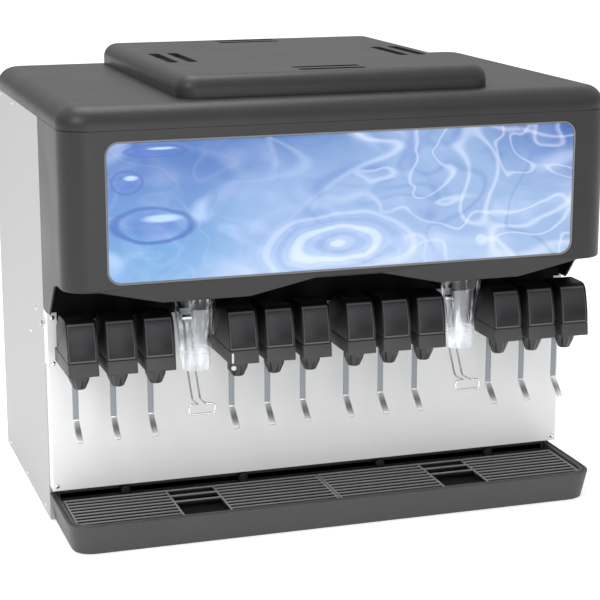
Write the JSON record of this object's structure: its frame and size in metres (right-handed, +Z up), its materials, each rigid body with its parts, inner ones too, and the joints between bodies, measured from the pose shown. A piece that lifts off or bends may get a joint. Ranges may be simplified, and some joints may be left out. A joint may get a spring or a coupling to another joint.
{
  "type": "countertop ice and soda dispenser",
  "caption": "Countertop ice and soda dispenser with lever valves, two ice chutes, lit front panel, lift-off ice lid and a drip tray with cup rests.",
  "frame": {"origin": "on the counter, half way between the head's front and the back panel, on the middle line", "axes": "+X to the right seen from the front, +Y to the back, +Z up"},
  "size_m": [1.1294, 0.792, 0.92],
  "materials": {
    "stainless": "satin sheet, fine brushing",
    "charcoal": "fine grain, moulded",
    "black_metal": "black powder coat",
    "graphic": "lit translucent panel with a blue and white water pattern",
    "trim": "light grey trim",
    "lamp": "opal tube",
    "bin_plastic": "white moulded",
    "foam": "rigid foam behind skins",
    "cold_aluminium": "cast",
    "white_plastic": "white moulded",
    "polished_steel": "polished stainless",
    "motor_black": "black",
    "throat_plastic": "black moulded",
    "clear_plastic": "clear",
    "valve_plastic": "satin black",
    "smoke_plastic": "dark translucent",
    "tray_plastic": "dark grey, fine grain",
    "knob_black": "black",
    "tube": "stainless tube",
    "box_grey": "grey"
  },
  "bodies": {
    "cabinet": {"base_pan": "stainless", "left_side_panel": "stainless", "right_side_panel": "stainless", "back_panel": "stainless", "splash_panel": "stainless", "valve_plate": "stainless", "lamp_tray": "stainless", "ice_lever_brackets": "stainless", "head_housing": "charcoal", "top_cover": "charcoal", "upper_panel": "black_metal", "graphic_panel": "graphic", "graphic_frame": "trim", "lamp_tubes": "lamp", "ice_bin": "bin_plastic", "bin_insulation": "foam", "cold_plate": "cold_aluminium", "lever_pins": "polished_steel", "key_switch_body": "polished_steel", "panel_screws": "polished_steel", "leg_nuts": "polished_steel", "drain_fitting": "polished_steel", "gear_motor": "motor_black", "gate_solenoids": "motor_black", "valve_solenoids": "motor_black", "ice_throats": "throat_plastic", "ice_chutes": "clear_plastic", "valve_bodies": "valve_plastic", "valve_covers": "valve_plastic", "valve_nozzles": "smoke_plastic", "drip_tray": "tray_plastic", "tray_screws": "knob_black", "power_inlet": "knob_black", "product_tubes": "tube", "supply_barbs": "tube", "control_box": "box_grey"},
    "agitator": {"agitator_wheel": "white_plastic", "agitator_shaft": "polished_steel"},
    "gate_left": {"ice_gate_left": "white_plastic"},
    "gate_right": {"ice_gate_right": "white_plastic"},
    "ice_lever_left": {"ice_lever_left": "polished_steel"},
    "ice_lever_right": {"ice_lever_right": "polished_steel"},
    "lid": {"ice_lid": "charcoal"},
    "rest_left": {"cup_rest_left": "tray_plastic"},
    "rest_right": {"cup_rest_right": "tray_plastic"},
    "key": {"key_switch_barrel": "polished_steel"},
    "button": {"water_button": "white_plastic"},
    "valve_lever_01": {"valve_lever_01": "polished_steel"},
    "valve_lever_02": {"valve_lever_02": "polished_steel"},
    "valve_lever_03": {"valve_lever_03": "polished_steel"},
    "valve_lever_04": {"valve_lever_04": "polished_steel"},
    "valve_lever_05": {"valve_lever_05": "polished_steel"},
    "valve_lever_06": {"valve_lever_06": "polished_steel"},
    "valve_lever_07": {"valve_lever_07": "polished_steel"},
    "valve_lever_08": {"valve_lever_08": "polished_steel"},
    "valve_lever_09": {"valve_lever_09": "polished_steel"},
    "valve_lever_10": {"valve_lever_10": "polished_steel"},
    "valve_lever_11": {"valve_lever_11": "polished_steel"},
    "valve_lever_12": {"valve_lever_12": "polished_steel"}
  },
  "joints": [
    {"name": "agitator_spin", "type": "hinge", "parent": "cabinet", "child": "agitator", "pos_m": [0, -0.089, 0.49], "axis": [0, 1, 0], "continuous": true},
    {"name": "ice_lid_lift", "type": "slide", "parent": "cabinet", "child": "lid", "axis": [0, 0, 1], "range_m": [0, 0.3]},
    {"name": "cup_rest_left_lift", "type": "slide", "parent": "cabinet", "child": "rest_left", "axis": [0, 0, 1], "range_m": [0, 0.1]},
    {"name": "cup_rest_right_lift", "type": "slide", "parent": "cabinet", "child": "rest_right", "axis": [0, 0, 1], "range_m": [0, 0.1]},
    {"name": "key_switch_turn", "type": "hinge", "parent": "cabinet", "child": "key", "pos_m": [-0.559, -0.163, 0.42], "axis": [1, 0, 0], "range_deg": [0, 90]},
    {"name": "water_button_press", "type": "slide", "parent": "cabinet", "child": "button", "axis": [0, 1, 0], "range_m": [0, 0.004], "stiffness_N_per_m": 1200},
    {"name": "ice_lever_left_push", "type": "hinge", "parent": "cabinet", "child": "ice_lever_left", "pos_m": [-0.2825, -0.213, 0.422], "axis": [1, 0, 0], "range_deg": [0, 15], "stiffness_Nm_per_rad": 2},
    {"name": "ice_gate_left_slide", "type": "slide", "parent": "cabinet", "child": "gate_left", "axis": [0, 0, 1], "range_m": [0, 0.07]},
    {"name": "ice_lever_right_push", "type": "hinge", "parent": "cabinet", "child": "ice_lever_right", "pos_m": [0.2825, -0.213, 0.422], "axis": [1, 0, 0], "range_deg": [0, 15], "stiffness_Nm_per_rad": 2},
    {"name": "ice_gate_right_slide", "type": "slide", "parent": "cabinet", "child": "gate_right", "axis": [0, 0, 1], "range_m": [0, 0.07]},
    {"name": "valve_lever_01_push", "type": "hinge", "parent": "cabinet", "child": "valve_lever_01", "pos_m": [-0.518, -0.247, 0.345], "axis": [1, 0, 0], "range_deg": [0, 12], "stiffness_Nm_per_rad": 0.8},
    {"name": "valve_lever_02_push", "type": "hinge", "parent": "cabinet", "child": "valve_lever_02", "pos_m": [-0.4422, -0.247, 0.345], "axis": [1, 0, 0], "range_deg": [0, 12], "stiffness_Nm_per_rad": 0.8},
    {"name": "valve_lever_03_push", "type": "hinge", "parent": "cabinet", "child": "valve_lever_03", "pos_m": [-0.3664, -0.247, 0.345], "axis": [1, 0, 0], "range_deg": [0, 12], "stiffness_Nm_per_rad": 0.8},
    {"name": "valve_lever_04_push", "type": "hinge", "parent": "cabinet", "child": "valve_lever_04", "pos_m": [-0.1985, -0.247, 0.345], "axis": [1, 0, 0], "range_deg": [0, 12], "stiffness_Nm_per_rad": 0.8},
    {"name": "valve_lever_05_push", "type": "hinge", "parent": "cabinet", "child": "valve_lever_05", "pos_m": [-0.1227, -0.247, 0.345], "axis": [1, 0, 0], "range_deg": [0, 12], "stiffness_Nm_per_rad": 0.8},
    {"name": "valve_lever_06_push", "type": "hinge", "parent": "cabinet", "child": "valve_lever_06", "pos_m": [-0.0469, -0.247, 0.345], "axis": [1, 0, 0], "range_deg": [0, 12], "stiffness_Nm_per_rad": 0.8},
    {"name": "valve_lever_07_push", "type": "hinge", "parent": "cabinet", "child": "valve_lever_07", "pos_m": [0.0469, -0.247, 0.345], "axis": [1, 0, 0], "range_deg": [0, 12], "stiffness_Nm_per_rad": 0.8},
    {"name": "valve_lever_08_push", "type": "hinge", "parent": "cabinet", "child": "valve_lever_08", "pos_m": [0.1227, -0.247, 0.345], "axis": [1, 0, 0], "range_deg": [0, 12], "stiffness_Nm_per_rad": 0.8},
    {"name": "valve_lever_09_push", "type": "hinge", "parent": "cabinet", "child": "valve_lever_09", "pos_m": [0.1985, -0.247, 0.345], "axis": [1, 0, 0], "range_deg": [0, 12], "stiffness_Nm_per_rad": 0.8},
    {"name": "valve_lever_10_push", "type": "hinge", "parent": "cabinet", "child": "valve_lever_10", "pos_m": [0.3664, -0.247, 0.345], "axis": [1, 0, 0], "range_deg": [0, 12], "stiffness_Nm_per_rad": 0.8},
    {"name": "valve_lever_11_push", "type": "hinge", "parent": "cabinet", "child": "valve_lever_11", "pos_m": [0.4422, -0.247, 0.345], "axis": [1, 0, 0], "range_deg": [0, 12], "stiffness_Nm_per_rad": 0.8},
    {"name": "valve_lever_12_push", "type": "hinge", "parent": "cabinet", "child": "valve_lever_12", "pos_m": [0.518, -0.247, 0.345], "axis": [1, 0, 0], "range_deg": [0, 12], "stiffness_Nm_per_rad": 0.8}
  ],
  "couplings": [
    {"joint": "ice_gate_left_slide", "follows": "ice_lever_left_push", "m_per_rad": 0.267},
    {"joint": "ice_gate_right_slide", "follows": "ice_lever_right_push", "m_per_rad": 0.267}
  ]
}
